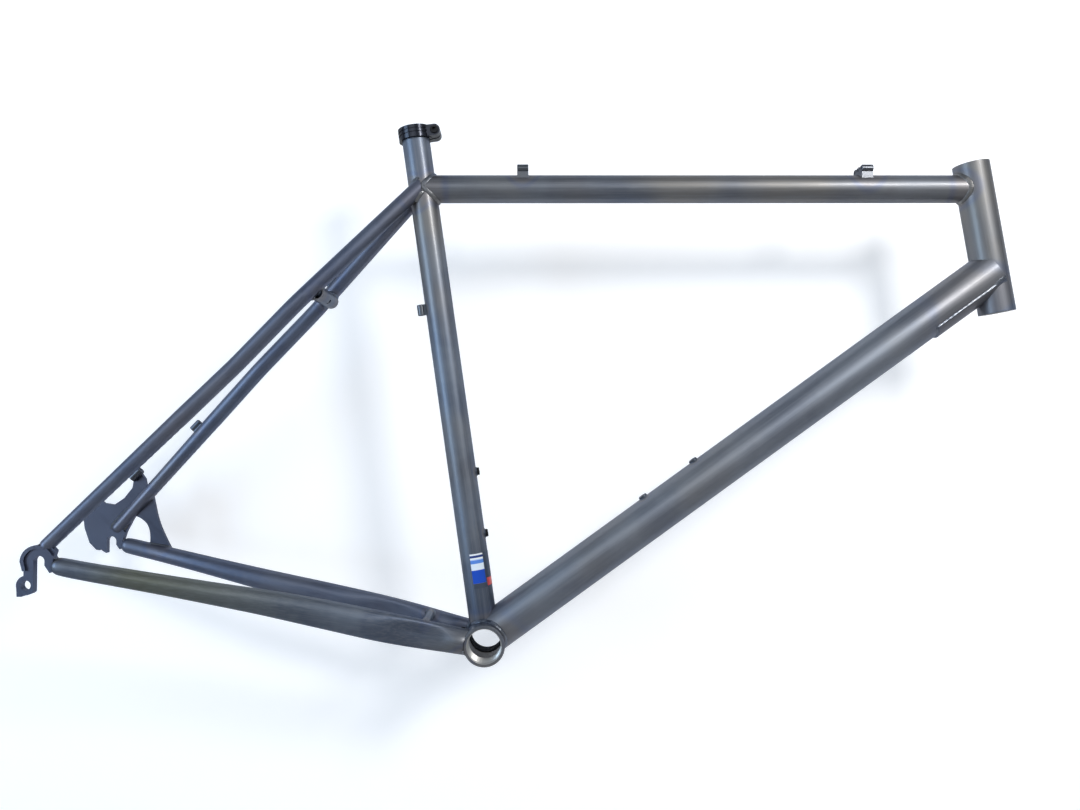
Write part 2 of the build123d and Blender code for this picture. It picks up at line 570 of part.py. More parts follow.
with BuildPart() as seat_clamp_collar:
    with BuildSketch(collar_base):
        Circle(collar_r)
    extrude(amount=COLLAR_HEIGHT)
    for middle in (0.36, 0.66):
        with BuildSketch(collar_base.offset(COLLAR_HEIGHT * middle - GROOVE_HEIGHT / 2)):
            Circle(collar_r + 1)
            Circle(collar_r - GROOVE_DEPTH, mode=Mode.SUBTRACT)
        extrude(amount=GROOVE_HEIGHT, mode=Mode.SUBTRACT)
    with BuildSketch(Plane(origin=clamp_bolt_at - LEFT * EAR_HALF_WIDTH, x_dir=SEAT_FRONT,
                           z_dir=LEFT)):
        Circle(EAR_R)
        with Locations((-EAR_AT / 2, 0)):
            Rectangle(EAR_AT, 2 * EAR_R)
    extrude(amount=2 * EAR_HALF_WIDTH)
    with BuildSketch(collar_base):
        Circle(SEAT_R + COLLAR_GAP)
    extrude(amount=COLLAR_HEIGHT - COLLAR_LIP, mode=Mode.SUBTRACT)
    with BuildSketch(collar_base.offset(-1)):
        Circle(COLLAR_LIP_R)
    extrude(amount=COLLAR_HEIGHT + 2, mode=Mode.SUBTRACT)
    with BuildSketch(collar_base.offset(-1)):
        Rectangle(EAR_AT + EAR_R + 5, EAR_GAP, align=(Align.MIN, Align.CENTER))
    extrude(amount=COLLAR_HEIGHT + 2, mode=Mode.SUBTRACT)
    add(round_bar(clamp_bolt_at - LEFT * 20, clamp_bolt_at + LEFT * 20,
                  CLAMP_BOLT_R + CLAMP_CLEARANCE), mode=Mode.SUBTRACT)
    add(round_bar(clamp_bolt_at - LEFT * 20, clamp_bolt_at - LEFT * (EAR_HALF_WIDTH - 3.5),
                  CLAMP_HEAD_R + CLAMP_CLEARANCE), mode=Mode.SUBTRACT)
keep("seat_clamp_collar", seat_clamp_collar.part)


def socket_bolt(head_base, outward, shank_r, shank, head_r, head, hex_across, hex_depth):
    """A cap screw with a hexagon socket. Its head starts at head_base and faces outward."""
    with BuildPart() as bolt:
        with BuildSketch(Plane(origin=head_base, z_dir=outward)):
            Circle(head_r)
        extrude(amount=head)
        chamfer(bolt.faces().sort_by(Axis(head_base, outward))[-1].edges(), 0.5)
        with BuildSketch(Plane(origin=head_base + outward * (head - hex_depth), z_dir=outward)):
            RegularPolygon(hex_across / 2, 6, major_radius=False)
        extrude(amount=hex_depth + 1, mode=Mode.SUBTRACT)
        with BuildSketch(Plane(origin=head_base, z_dir=-outward)):
            Circle(shank_r)
        extrude(amount=shank)
    return bolt.part


clamp_head_base = clamp_bolt_at - LEFT * (EAR_HALF_WIDTH - 3.5)
keep("seat_clamp_bolt", socket_bolt(clamp_head_base, -LEFT, CLAMP_BOLT_R, 19.5, CLAMP_HEAD_R,
                                    CLAMP_HEAD_LENGTH, CLAMP_HEX, 2.8))

# ---------------------------------------------------------------- bottle cage screws
BOTTLE_SCREW_R, BOTTLE_SCREW_LENGTH = 2.03, 8.0
BOTTLE_HEAD_R, BOTTLE_HEAD_LENGTH, BOTTLE_HEX = 4.0, 2.3, 3.0
for place, point in zip(("lower", "upper"), seat_boss_points):
    keep(f"bottle_screw_{place}",
         socket_bolt(point + SEAT_FRONT * SEAT_BOSS_HEIGHT, SEAT_FRONT, BOTTLE_SCREW_R,
                     BOTTLE_SCREW_LENGTH, BOTTLE_HEAD_R, BOTTLE_HEAD_LENGTH, BOTTLE_HEX, 1.5))

# ---------------------------------------------------------------- tubing sticker
STICKER_FROM, STICKER_TO, STICKER_THICKNESS = 54.0, 89.0, 0.2
STICKER_START, STICKER_END = -104.0, 20.0     # around the tube, from straight forward
with BuildPart() as tubing_sticker:
    with BuildSketch(Plane(origin=SEAT_UP * STICKER_FROM, x_dir=SEAT_FRONT, z_dir=SEAT_UP)):
        Circle(SEAT_R + STICKER_THICKNESS)
        Circle(SEAT_R, mode=Mode.SUBTRACT)
        turns = [STICKER_START + (STICKER_END - STICKER_START) * i / 4 for i in range(5)]
        Polygon((0, 0), *[(30 * cos(radians(t)), 30 * sin(radians(t))) for t in turns],
                align=None, mode=Mode.INTERSECT)
    extrude(amount=STICKER_TO - STICKER_FROM)
keep("tubing_sticker", tubing_sticker.part)

# ---------------------------------------------------------------- export
os.makedirs("parts", exist_ok=True)
for name, part in pieces.items():
    export_step(part, f"parts/{name}.step")
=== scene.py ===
import json
from math import cos, pi, radians, sin

import bmesh
import bpy
from mathutils import Matrix, Vector
from mathutils.bvhtree import BVHTree


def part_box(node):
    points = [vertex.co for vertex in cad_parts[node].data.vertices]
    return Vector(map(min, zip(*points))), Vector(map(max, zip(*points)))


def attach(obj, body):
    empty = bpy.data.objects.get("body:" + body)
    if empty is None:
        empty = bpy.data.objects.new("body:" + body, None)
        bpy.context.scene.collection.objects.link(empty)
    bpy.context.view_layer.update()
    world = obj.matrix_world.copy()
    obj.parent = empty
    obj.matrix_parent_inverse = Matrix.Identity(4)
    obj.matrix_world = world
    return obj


# Looks for a bare steel bicycle frame: smoky clear-coated tubes, ripple welds, a black seat clamp
# and a tubing sticker. Metres, in the frame's own axes: X forward, Y left, Z up.

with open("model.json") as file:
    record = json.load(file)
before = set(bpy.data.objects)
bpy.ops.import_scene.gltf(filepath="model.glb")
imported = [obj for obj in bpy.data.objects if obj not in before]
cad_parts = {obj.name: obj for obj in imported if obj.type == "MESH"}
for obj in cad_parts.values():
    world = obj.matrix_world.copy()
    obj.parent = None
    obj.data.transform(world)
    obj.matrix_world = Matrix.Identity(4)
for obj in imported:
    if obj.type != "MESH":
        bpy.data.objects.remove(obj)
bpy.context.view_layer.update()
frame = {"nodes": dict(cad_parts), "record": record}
NODES = frame["nodes"]
MM = 0.001

# ------------------------------------------------------------------ places, from the frame
mounts = {m["name"]: m for m in frame["record"]["mounts"]}


def mount_at(name):
    return Vector(mounts[name]["pos_m"])


def mount_axis(name):
    return Vector(mounts[name]["axis"]).normalized()


def half_width(node):
    """Half of a node's size along Y."""
    low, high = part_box(node)
    return (high[1] - low[1]) / 2


FORWARD = Vector((1, 0, 0))
LEFT = Vector((0, 1, 0))
ORIGIN = Vector((0, 0, 0))
SEAT_UP = mount_axis("seat_post")
SEAT_FRONT = LEFT.cross(SEAT_UP)
HEAD_UP = mount_axis("headset")
TOP_FORWARD = mount_axis("housing_top_front_middle")
DOWN_NORMAL = mount_axis("bottle_cage")
DOWN_FORWARD = LEFT.cross(DOWN_NORMAL)
STAY_DOWN = mount_axis("housing_seatstay")
STAY_NORMAL = STAY_DOWN.cross(LEFT) * -1
SHELL_HALF = half_width("bottom_bracket_shell")

# ------------------------------------------------------------------ node helpers


class Graph:
    """A short way to write a material's nodes."""

    def __init__(self, name):
        self.material = bpy.data.materials.new(name)
        self.material.use_nodes = True
        self.tree = self.material.node_tree
        self.shader = self.tree.nodes["Principled BSDF"]
        self.place = self.node("ShaderNodeTexCoord").outputs["Object"]

    def node(self, kind, **settings):
        made = self.tree.nodes.new(kind)
        for key, value in settings.items():
            setattr(made, key, value)
        return made

    def plug(self, socket, value):
        if isinstance(value, bpy.types.NodeSocket):
            self.tree.links.new(value, socket)
        else:
            socket.default_value = value

    def math(self, operation, *values):
        made = self.node("ShaderNodeMath", operation=operation)
        for socket, value in zip(made.inputs, values):
            self.plug(socket, value)
        return made.outputs[0]

    def dot(self, direction, origin=ORIGIN):
        """How far the surface point is along a direction, from an origin."""
        made = self.node("ShaderNodeVectorMath", operation="DOT_PRODUCT")
        self.plug(made.inputs[0], self.place)
        made.inputs[1].default_value = direction
        return self.math("SUBTRACT", made.outputs["Value"], origin.dot(direction))

    def distance(self, point):
        made = self.node("ShaderNodeVectorMath", operation="DISTANCE")
        self.plug(made.inputs[0], self.place)
        made.inputs[1].default_value = point
        return made.outputs["Value"]

    def squeezed(self, direction, along, across):
        """The surface point, scaled along a direction and across it, for streaks."""
        x = direction.orthogonal().normalized()
        y = direction.cross(x)
        made = self.node("ShaderNodeCombineXYZ")
        for socket, axis, scale in zip(made.inputs, (x, y, direction), (across, across, along)):
            self.plug(socket, self.math("MULTIPLY", self.dot(axis), scale))
        return made.outputs[0]

    def noise(self, scale, detail=3.0, roughness=0.5, place=None, distortion=0.0):
        made = self.node("ShaderNodeTexNoise")
        self.plug(made.inputs["Vector"], place or self.place)
        made.inputs["Scale"].default_value = scale
        made.inputs["Detail"].default_value = detail
        made.inputs["Roughness"].default_value = roughness
        made.inputs["Distortion"].default_value = distortion
        return made.outputs["Fac"]

    def fade(self, value, start, end, low=0.0, high=1.0):
        """The value mapped smoothly from start..end to low..high, clamped."""
        made = self.node("ShaderNodeMapRange", clamp=True, interpolation_type="SMOOTHSTEP")
        for socket, number in zip(made.inputs, (value, start, end, low, high)):
            self.plug(socket, number)
        return made.outputs[0]

    def mix(self, factor, first, second):
        made = self.node("ShaderNodeMix", data_type="RGBA")
        self.plug(made.inputs["Factor"], factor)
        colours = [s for s in made.inputs if s.type == "RGBA"]
        for socket, colour in zip(colours, (first, second)):
            self.plug(socket, colour if isinstance(colour, bpy.types.NodeSocket) else (*colour, 1))
        return next(s for s in made.outputs if s.type == "RGBA")

    def bump(self, height, distance, strength):
        made = self.node("ShaderNodeBump")
        made.inputs["Distance"].default_value = distance
        made.inputs["Strength"].default_value = strength
        self.plug(made.inputs["Height"], height)
        return made.outputs[0]

    def set(self, **values):
        for key, value in values.items():
            self.plug(self.shader.inputs[key.replace("_", " ")], value)


# ------------------------------------------------------------------ steel under smoky clear coat
# The lacquer is thin over brushed steel: cool slate where it is even, straw and blue-violet beside
# the welds, with fine draw lines along each tube that break up the highlights.
SLATE = (0.142, 0.166, 0.206)
SLATE_DARK = (0.088, 0.108, 0.150)
WARM_GREY = (0.190, 0.178, 0.160)
OLIVE = (0.135, 0.140, 0.082)
STRAW = (0.235, 0.195, 0.135)
HEAT_BLUE = (0.085, 0.105, 0.180)
DRAWN = (0.250, 0.258, 0.280)
# painted light: the paler steel that a lit copy of the lacquer is mixed towards
PAINTED_LIGHT_STEEL = (0.40, 0.41, 0.43)
SHADED = (0.012, 0.015, 0.022)
# painted shade: the near black inside the shell's bore
PAINTED_SHADE_BLACK = (0.004, 0.004, 0.005)
BARE_STEEL = (0.56, 0.55, 0.53)
EDGE_TINT = (0.20, 0.23, 0.29, 1)
COAT_WEIGHT, COAT_ROUGHNESS, STEEL_METALLIC = 0.26, 0.17, 0.92
OLIVE_FADE_IN = 0.06

heated = {}                   # node: centres and reaches of its welds


def steel(name, along, heat_points=(), olive=None, bare=None, dark=None, streak=1.0, shade=1.0,
          cool=0.0, gloss=0.0):
    """Smoky lacquer over steel drawn along a direction. Olive is where that stain starts and
    ends, along which direction and from where. Bare and dark are functions of the graph that
    return masks of unpainted metal and of painted shade. A shade below 1 is darker; above 1 it
    is paler, a lit copy that is painted light."""
    g = Graph(name)
    streaks = g.noise(1.0, 3.0, 0.6, g.squeezed(along, 14.0, 900.0))
    fine = g.noise(1.0, 2.0, 0.6, g.squeezed(along, 60.0, 3600.0))
    cloud = g.noise(16.0, 4.0, 0.55, distortion=0.4)
    patch = g.noise(5.0, 3.0, 0.5)
    colour = g.mix(g.fade(cloud, 0.35, 0.68), SLATE_DARK, SLATE)
    colour = g.mix(g.fade(patch, 0.46, 0.70, 0.0, 0.85), colour, WARM_GREY)
    if olive:
        start, end, direction, origin = olive
        reach = g.dot(direction, origin)
        amount = g.math("MULTIPLY", g.fade(reach, start, end), g.fade(cloud, 0.30, 0.55, 0.45, 1.0))
        amount = g.math("MULTIPLY", amount, g.fade(reach, end, end + OLIVE_FADE_IN))
        colour = g.mix(g.math("MULTIPLY", amount, 0.8), colour, OLIVE)
    heat = None
    for point, reach in heat_points:
        near = g.fade(g.distance(point), reach * 1.4, reach * 0.6)
        heat = near if heat is None else g.math("MAXIMUM", heat, near)
    if heat is not None:
        edge = g.math("ADD", heat, g.math("MULTIPLY", g.math("SUBTRACT", cloud, 0.5), 0.55))
        colour = g.mix(g.math("MULTIPLY", g.fade(edge, 0.10, 0.45), 0.40), colour, HEAT_BLUE)
        colour = g.mix(g.math("MULTIPLY", g.fade(edge, 0.50, 0.85), 0.30), colour, STRAW)
    colour = g.mix(g.fade(streaks, 0.35, 0.75, 0.0, 0.30 * streak), colour, DRAWN)
    if cool:
        colour = g.mix(cool, colour, HEAT_BLUE)
    # A shade above 1 mixes towards paler steel, which is painted light; below 1 it darkens the
    # colour.
    if shade != 1:
        colour = g.mix(abs(1 - shade), colour, SHADED if shade < 1 else PAINTED_LIGHT_STEEL)
    rough = g.math("ADD", g.fade(streaks, 0.25, 0.75, 0.42 - gloss, 0.54 - gloss),
                   g.fade(cloud, 0.3, 0.7, -0.03, 0.04))
    if bare:
        mask = bare(g)
        colour = g.mix(mask, colour, BARE_STEEL)
        rough = g.math("ADD", rough, g.math("MULTIPLY", mask, -0.14))
    # painted shade: where the dark mask is, the colour goes near black
    if dark:
        colour = g.mix(dark(g), colour, PAINTED_SHADE_BLACK)
    scratch = g.bump(fine, 0.02 * MM, 0.35 * streak)
    peel = g.bump(g.noise(650.0, 2.0, 0.5), 0.02 * MM, 0.25)
    g.set(Base_Color=colour, Roughness=rough, Metallic=STEEL_METALLIC, Specular_Tint=EDGE_TINT,
          Normal=scratch, Coat_Weight=COAT_WEIGHT, Coat_Roughness=COAT_ROUGHNESS, Coat_IOR=1.45,
          Coat_Normal=peel)
    return g.material


def bare_bore(axis_point, axis, radius):
    """Unpainted metal inside a bore."""
    def mask(g):
        along = g.math("ABSOLUTE", g.dot(axis, axis_point))
        whole = g.math("POWER", g.distance(axis_point), 2.0)
        across = g.math("SQRT", g.math("SUBTRACT", whole, g.math("MULTIPLY", along, along)))
        return g.fade(across, radius + 0.25 * MM, radius)
    return mask


def bore_painted_shade(g):
    """Painted shade inside the bottom bracket shell: the bore is darkened from the relief through
    the far end.
    """
    across = g.math("SQRT", g.math("SUBTRACT", g.math("POWER", g.distance(ORIGIN), 2.0),
                                   g.math("POWER", g.dot(LEFT), 2.0)))
    inside = g.fade(across, 18.2 * MM, 17.9 * MM)
    return g.math("MULTIPLY", inside, g.fade(g.dot(LEFT), -12.4 * MM, -11.6 * MM))


def chip(point, size):
    """A small place where the lacquer is knocked off."""
    def mask(g):
        ragged = g.math("MULTIPLY", g.math("SUBTRACT", g.noise(900.0, 3.0, 0.6), 0.5), size * 1.6)
        return g.fade(g.math("ADD", g.distance(point), ragged), size, size * 0.75)
    return mask


# ------------------------------------------------------------------ other finishes


def black_anodised(name):
    """Black anodised aluminium, with faint turning lines and rubbed patches."""
    g = Graph(name)
    rings = g.noise(1.0, 2.0, 0.6, g.squeezed(SEAT_UP, 5200.0, 60.0))
    grain = g.noise(2400.0, 2.0, 0.5)
    wear = g.noise(260.0, 5.0, 0.7)
    colour = g.mix(g.fade(wear, 0.62, 0.80, 0.0, 0.5), (0.022, 0.024, 0.032), (0.085, 0.088, 0.100))
    rough = g.fade(grain, 0.3, 0.7, 0.18, 0.30)
    g.set(Base_Color=colour, Roughness=rough, Metallic=0.75, Coat_Weight=0.25, Coat_Roughness=0.12,
          Specular_Tint=EDGE_TINT, Coat_Tint=(0.5, 0.55, 0.65, 1),
          Normal=g.bump(rings, 0.012 * MM, 0.4))
    return g.material


def black_oxide(name):
    """Blackened steel screws: dark, slightly brown, brighter where a key has rubbed."""
    g = Graph(name)
    wear = g.noise(900.0, 4.0, 0.7)
    colour = g.mix(g.fade(wear, 0.58, 0.78), (0.020, 0.020, 0.022), (0.13, 0.125, 0.12))
    g.set(Base_Color=colour, Roughness=g.fade(wear, 0.3, 0.7, 0.30, 0.46), Metallic=0.9,
          Normal=g.bump(g.noise(3000.0), 0.01 * MM, 0.4))
    return g.material


STICKER_LOW = 54.0 * MM       # the printed film's lower edge, up the seat tube
PRINT_EDGE = 0.12 * MM


def sticker_print(name):
    """Printed film in plain bands up the seat tube, clear at the bottom and the front."""
    g = Graph(name)
    up = g.dot(SEAT_UP)
    forward = g.dot(SEAT_FRONT)

    def band(start, end):
        """A mask between two heights, in mm above the sticker's lower edge."""
        low, high = STICKER_LOW + start * MM, STICKER_LOW + end * MM
        inside = g.fade(up, low - PRINT_EDGE, low + PRINT_EDGE)
        return g.math("MULTIPLY", inside, g.fade(up, high + PRINT_EDGE, high - PRINT_EDGE))

    white, pale_blue, blue = (0.80, 0.83, 0.86), (0.40, 0.55, 0.82), (0.012, 0.070, 0.46)
    colour = g.mix(band(5.0, 18.5), white, blue)
    colour = g.mix(band(18.5, 25.0), colour, (0.72, 0.80, 0.88))
    colour = g.mix(band(25.0, 28.6), colour, (0.10, 0.24, 0.66))
    colour = g.mix(band(31.0, 33.4), colour, (0.030, 0.055, 0.20))
    colour = g.mix(band(28.6, 29.4), colour, pale_blue)
    clear = g.math("MAXIMUM", g.fade(forward, 9.2 * MM, 9.6 * MM), band(-1.0, 5.0))
    colour = g.mix(clear, colour, SLATE_DARK)
    red = g.math("MULTIPLY", band(1.0, 9.0), g.fade(forward, 10.4 * MM, 10.8 * MM))
    colour = g.mix(red, colour, (0.50, 0.06, 0.06))
    clear = g.math("MULTIPLY", clear, g.math("SUBTRACT", 1.0, red))
    scuff = g.noise(420.0, 5.0, 0.7)
    colour = g.mix(g.fade(scuff, 0.64, 0.85, 0.0, 0.25), colour, (0.40, 0.43, 0.48))
    g.set(Base_Color=colour, Roughness=g.fade(scuff, 0.3, 0.7, 0.34, 0.48), Coat_Weight=COAT_WEIGHT,
          Coat_Roughness=COAT_ROUGHNESS, Metallic=g.math("MULTIPLY", clear, STEEL_METALLIC),
          Specular_Tint=EDGE_TINT,
          Normal=g.bump(g.noise(900.0), 0.02 * MM, 0.3))
    return g.material


# ------------------------------------------------------------------ welds
BEAD_STEP = 0.45 * MM
BEAD_ARC = 8                  # surface points across a bead, less one
SUNK = 0.15 * MM              # a bead's edges lie this far inside the tubes
TOUCH = 0.22 * MM             # a cut face lies within this of its neighbour
SEARCH = 8 * MM
SAME_POINT = 0.02 * MM
FACING = 0.8                  # least cosine between two touching faces
trees = {}


def tree_of(node):
    if node not in trees:
        mesh = NODES[node].data
        trees[node] = BVHTree.FromPolygons([v.co for v in mesh.vertices],
                                           [p.vertices for p in mesh.polygons])
    return trees[node]


def normal_at(node, point):
    return tree_of(node).find_nearest(point)[1].normalized()


def seams(child, parent):
    """The closed outlines of the surface where a child node meets its parent, longest first."""
    mesh = NODES[child].data
    tree = tree_of(parent)
    keys, place = {}, {}
    for v in mesh.vertices:
        key = tuple(round(c / SAME_POINT) for c in v.co)
        keys[v.index] = key
        place.setdefault(key, v.co.copy())
    near = {}
    for key, point in place.items():
        hit = tree.find_nearest(point, SEARCH)
        near[key] = hit[0] is not None and (hit[3] or 1.0) < TOUCH
    edges = {}
    for polygon in mesh.polygons:
        ring = [keys[i] for i in polygon.vertices]
        if not all(near[k] for k in ring):
            continue
        hit = tree.find_nearest(polygon.center, SEARCH)
        if hit[0] is None or hit[3] > TOUCH or abs(hit[1].dot(polygon.normal)) < FACING:
            continue
        for a, b in zip(ring, ring[1:] + ring[:1]):
            if a != b:
                pair = (a, b) if a < b else (b, a)
                edges[pair] = edges.get(pair, 0) + 1
    links = {}
    for (a, b), count in edges.items():
        if count == 1:
            links.setdefault(a, []).append(b)
            links.setdefault(b, []).append(a)
    loops = []
    while links:
        start = next(iter(links))
        loop, here = [start], start
        while links.get(here):
            ahead = links[here].pop()
            links[ahead].remove(here)
            here = ahead
            if here == start:
                break
            loop.append(here)
        links = {k: v for k, v in links.items() if v}
        if len(loop) > 3 and here == start:
            loops.append([place[k] for k in loop])

    def length(loop):
        return sum((a - b).length for a, b in zip(loop, loop[1:] + loop[:1]))
    return sorted(loops, key=length, reverse=True)


def even_steps(loop, step):
    """Points at equal steps round a closed outline."""
    runs = [0.0]
    for a, b in zip(loop, loop[1:] + loop[:1]):
        runs.append(runs[-1] + (b - a).length)
    number = max(12, round(runs[-1] / step))
    made, j = [], 0
    for i in range(number):
        want = runs[-1] * i / number
        while runs[j + 1] < want:
            j += 1
        gap = max(runs[j + 1] - runs[j], 1e-9)
        made.append(loop[j].lerp(loop[(j + 1) % len(loop)], (want - runs[j]) / gap))
    return made


def smoothed(values, reach):
    """A closed list of vectors, each averaged with its neighbours."""
    count = len(values)
    around = range(-reach, reach + 1)
    return [sum((values[(i + k) % count] for k in around), Vector()) / len(around)
            for i in range(count)]


made_beads = []


def bead(name, child, parent, leg=2.5 * MM, pitch=1.7 * MM, crown=0.25 * MM, ripple=0.20 * MM):
    """A weld bead round the seam of two nodes: a shallow fillet with hand-laid crescents."""
    loops = seams(child, parent)
    if not loops:
        return
    line = even_steps(loops[0], BEAD_STEP)
    count = len(line)
    line = smoothed(line, 2)
    turns = max(1, round(count * BEAD_STEP / pitch))
    of_parents = smoothed([normal_at(parent, p) for p in line], 3)
    of_children = smoothed([normal_at(child, p + n.normalized() * leg * 0.7)
                            for p, n in zip(line, of_parents)], 3)
    verts, faces = [], []
    ring = BEAD_ARC + 2
    for i, p in enumerate(line):
        of_parent, of_child = of_parents[i].normalized(), of_children[i].normalized()
        tangent = (line[(i + 1) % count] - line[i - 1]).normalized()
        up_child = tangent.cross(of_child).normalized()
        up_child = up_child * (1 if up_child.dot(of_parent) > 0 else -1)
        out_parent = tangent.cross(of_parent).normalized()
        out_parent = out_parent * (1 if out_parent.dot(of_child) > 0 else -1)
        out = (of_parent + of_child).normalized()
        reach = leg * (1 + 0.06 * sin(i * 0.137) + 0.04 * sin(i * 0.47))     # a hand's wobble
        a = p + up_child * reach - of_child * SUNK
        b = p + out_parent * reach - of_parent * SUNK
        for k in range(BEAD_ARC + 1):
            t = k / BEAD_ARC
            swell = 4 * t * (1 - t)
            phase = turns * i / count - 0.42 * swell
            scallop = abs(sin(pi * phase)) ** 0.7
            height = crown + ripple * (scallop - 0.5)
            verts.append(a.lerp(b, t) + out * height * swell ** 0.8)
        verts.append(p - out * 0.4 * MM)
    for i in range(count):
        j = (i + 1) % count
        for k in range(ring):
            after = (k + 1) % ring
            faces.append((i * ring + k, i * ring + after, j * ring + after, j * ring + k))
    made = mesh_piece(name, verts, faces, "frame")
    made_beads.append(made)
    middle = sum(line, Vector()) / count
    spread = max((p - middle).length for p in line)
    for node in (child, parent):
        heated.setdefault(node, []).append((middle, spread + 5 * MM))


def mesh_piece(name, verts, faces, body):
    """A smooth closed mesh that rides on a body."""
    mesh = bpy.data.meshes.new(name)
    mesh.from_pydata([tuple(v) for v in verts], [], faces)
    mesh.validate()
    made = bpy.data.objects.new(name, mesh)
    bpy.context.collection.objects.link(made)
    work = bmesh.new()
    work.from_mesh(mesh)
    bmesh.ops.recalc_face_normals(work, faces=work.faces)
    work.to_mesh(mesh)
    work.free()
    mesh.shade_smooth()
    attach(made, body)
    return made


tube_welds = (
    ("top_tube", "head_tube"), ("top_tube", "seat_tube"), ("down_tube", "head_tube"),
    ("seat_tube", "bottom_bracket_shell"), ("down_tube", "bottom_bracket_shell"),
    ("left_seatstay", "seat_tube"), ("right_seatstay", "seat_tube"),
    ("left_chainstay", "bottom_bracket_shell"), ("right_chainstay", "bottom_bracket_shell"),
)
for child, parent in tube_welds:
    bead(f"weld_{child}_{parent}", child, parent)
small_welds = (
    ("seatstay_bridge", "left_seatstay", 1.9), ("seatstay_bridge", "right_seatstay", 1.9),
    ("chainstay_bridge", "left_chainstay", 1.5), ("chainstay_bridge", "right_chainstay", 1.5),
    ("head_gusset", "down_tube", 1.6),
    ("left_seatstay", "left_dropout", 1.5), ("left_chainstay", "left_dropout", 1.5),
    ("right_seatstay", "right_dropout", 1.5), ("right_chainstay", "right_dropout", 1.5),
    ("left_dropout", "left_seatstay", 1.7),
    ("disc_brace", "left_seatstay", 1.4), ("disc_brace", "left_chainstay", 1.4),
)
for child, parent, leg in small_welds:
    bead(f"weld_{child}_{parent}", child, parent, leg * MM, 1.5 * MM, 0.18 * MM, 0.16 * MM)
brazed = (
    ("top_tube_cable_stops_rear", "top_tube"), ("top_tube_cable_stops_front", "top_tube"),
    ("seat_tube_cable_stop", "seat_tube"), ("seatstay_cable_stop", "left_seatstay"),
    ("seatstay_cable_guide_upper", "left_seatstay"),
    ("seatstay_cable_guide_lower", "left_seatstay"),
    ("disc_tab_cable_stop", "left_dropout"), ("seat_tube_boss_lower", "seat_tube"),
    ("seat_tube_boss_upper", "seat_tube"), ("down_tube_boss_lower", "down_tube"),
    ("down_tube_boss_upper", "down_tube"),
)
for child, parent in brazed:
    bead(f"braze_{child}", child, parent, 0.7 * MM, 4 * MM, 0.02 * MM, 0.02 * MM)

# ------------------------------------------------------------------ bottom bracket threads
THREAD_R, THREAD_DEPTH, THREAD_PITCH = 16.95 * MM, 0.45 * MM, 1.058 * MM    # 24 threads an inch
THREAD_FROM, THREAD_TO = 12.4 * MM, SHELL_HALF - 1.0 * MM
THREAD_SIDES = 64
THREAD_RUN_IN = 20            # steps over which a ridge rises at its ends


def thread(name, side):
    """A helical ridge inside one end of the shell."""
    turns = int((THREAD_TO - THREAD_FROM) / THREAD_PITCH) - 1
    steps = turns * THREAD_SIDES
    verts, faces = [], []
    for i in range(steps + 1):
        angle = 2 * pi * i / THREAD_SIDES
        along = THREAD_FROM + THREAD_PITCH * (0.5 + i / THREAD_SIDES)
        run_in = min(1.0, i / THREAD_RUN_IN, (steps - i) / THREAD_RUN_IN)
        rise = THREAD_DEPTH * run_in + 0.01 * MM
        for shift, radius in ((-0.48, THREAD_R + 0.1 * MM), (-0.06, THREAD_R - rise),
                              (0.06, THREAD_R - rise), (0.48, THREAD_R + 0.1 * MM)):
            verts.append((radius * cos(angle), side * (along + shift * THREAD_PITCH),
                          radius * sin(angle)))
    for i in range(steps):
        for k in range(4):
            faces.append((4 * i + k, 4 * i + (k + 1) % 4, 4 * i + 4 + (k + 1) % 4, 4 * i + 4 + k))
    faces.append((3, 2, 1, 0))
    faces.append(tuple(4 * steps + k for k in range(4)))
    made = mesh_piece(name, verts, faces, "frame")
    made.data.shade_flat()
    return made


threads = [thread("thread_left", 1), thread("thread_right", -1)]

# ------------------------------------------------------------------ finishes on the nodes
tube_axes = {
    "head_tube": HEAD_UP, "top_tube": TOP_FORWARD, "down_tube": DOWN_FORWARD, "seat_tube": SEAT_UP,
    "bottom_bracket_shell": LEFT, "head_gusset": DOWN_FORWARD, "left_seatstay": -STAY_DOWN,
    "right_seatstay": -STAY_DOWN, "left_chainstay": FORWARD,
    "right_chainstay": FORWARD, "seatstay_bridge": LEFT, "chainstay_bridge": LEFT,
}


def paint(node, material):
    NODES[node].data.materials.clear()
    NODES[node].data.materials.append(material)


right_stay_start = Vector(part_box("right_chainstay")[0])
CHIP_AT = Vector((-0.1453, -0.0462, 0.0196))
bare_places = {
    "bottom_bracket_shell": bare_bore(ORIGIN, LEFT, 17.5 * MM),
    "head_tube": bare_bore(mount_at("headset"), HEAD_UP, 17.1 * MM),
    "seat_tube": bare_bore(mount_at("seat_post"), SEAT_UP, 13.7 * MM),
    "right_chainstay": chip(CHIP_AT, 1.6 * MM),
}
cool_tubes = {"left_seatstay", "right_seatstay", "left_chainstay"}
for node, axis in tube_axes.items():
    olive = (0.30, 0.02, FORWARD, right_stay_start) if node == "right_chainstay" else None
    finish = steel(f"{node}_steel", axis, heated.get(node, ()), olive, bare_places.get(node),
                   # the shell's bore gets painted shade from the relief through the far end
                   bore_painted_shade if node == "bottom_bracket_shell" else None,
                   # the down tube gets a paler copy of the lacquer: painted light
                   shade=1.22 if node == "down_tube" else 1.0,
                   cool=0.45 if node in cool_tubes else 0.0)
    paint(node, finish)
small_steel = steel("fitting_steel", SEAT_UP, streak=0.4, shade=0.6, gloss=0.16)
plate_steel = steel("plate_steel", STAY_NORMAL, streak=0.5, shade=0.8, cool=0.6, gloss=0.12)
bare_metal = steel("bare_metal", LEFT, bare=lambda g: g.fade(g.noise(500.0), 0.2, 0.3), streak=0.2)
black_alloy, black_screw = black_anodised("black_alloy"), black_oxide("black_steel")
